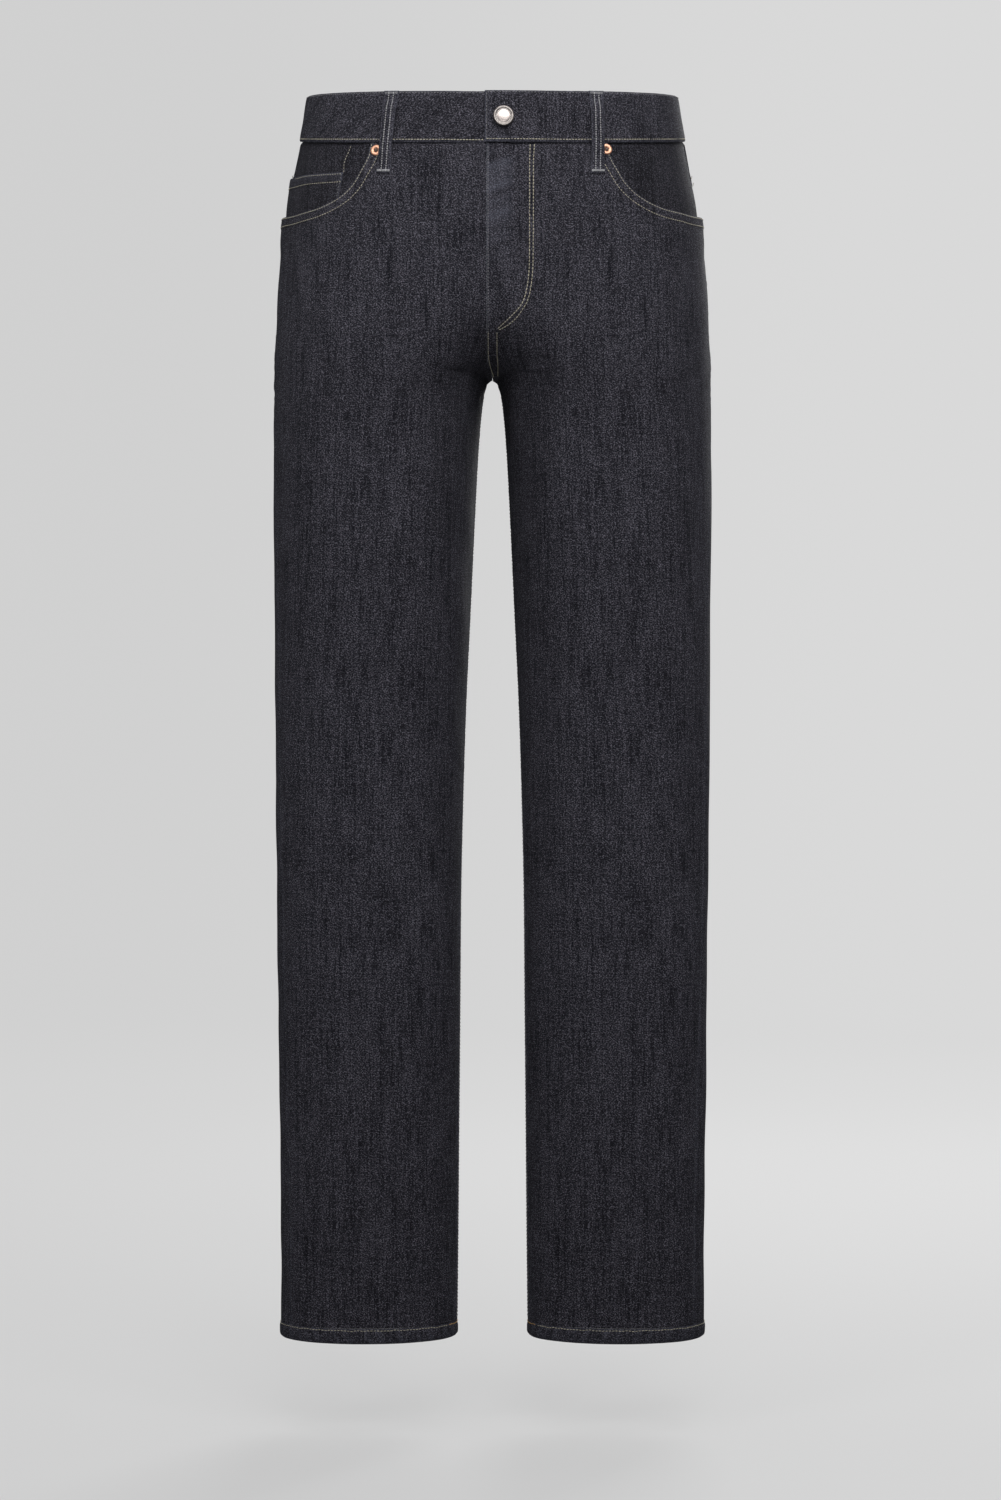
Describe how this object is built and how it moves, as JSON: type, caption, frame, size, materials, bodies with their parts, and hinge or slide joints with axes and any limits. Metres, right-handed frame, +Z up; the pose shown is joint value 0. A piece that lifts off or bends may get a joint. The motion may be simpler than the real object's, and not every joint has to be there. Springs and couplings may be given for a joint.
{
  "type": "slim fit jeans",
  "caption": "Dark indigo denim jeans with straight slim legs, curved front pockets, coin pocket, belt loops, shank button, copper rivets and turned hems, hollow and filled out as worn.",
  "frame": {"origin": "centre of the waist, where the wearer's waist holds the garment up, 10 mm above the waist seam at the sides", "axes": "+Z up the body, -Y out of the front, +X to the wearer's left"},
  "size_m": [0.3712, 0.2591, 1.0702],
  "materials": {
    "denim": "dark indigo 3x1 twill denim",
    "button_metal": "satin grey metal",
    "rivet_metal": "brushed copper"
  },
  "bodies": {
    "root": {"front_left": "denim", "front_right": "denim", "back_left": "denim", "back_right": "denim", "yoke_left": "denim", "yoke_right": "denim", "waistband": "denim", "pocket_facing_left": "denim", "pocket_facing_right": "denim", "coin_pocket": "denim", "back_pocket_left": "denim", "back_pocket_right": "denim", "belt_loop_front_left": "denim", "belt_loop_front_right": "denim", "belt_loop_side_left": "denim", "belt_loop_side_right": "denim", "belt_loop_back": "denim", "hem_left": "denim", "hem_right": "denim", "button": "button_metal", "rivet_left": "rivet_metal", "rivet_right": "rivet_metal"}
  },
  "joints": []
}
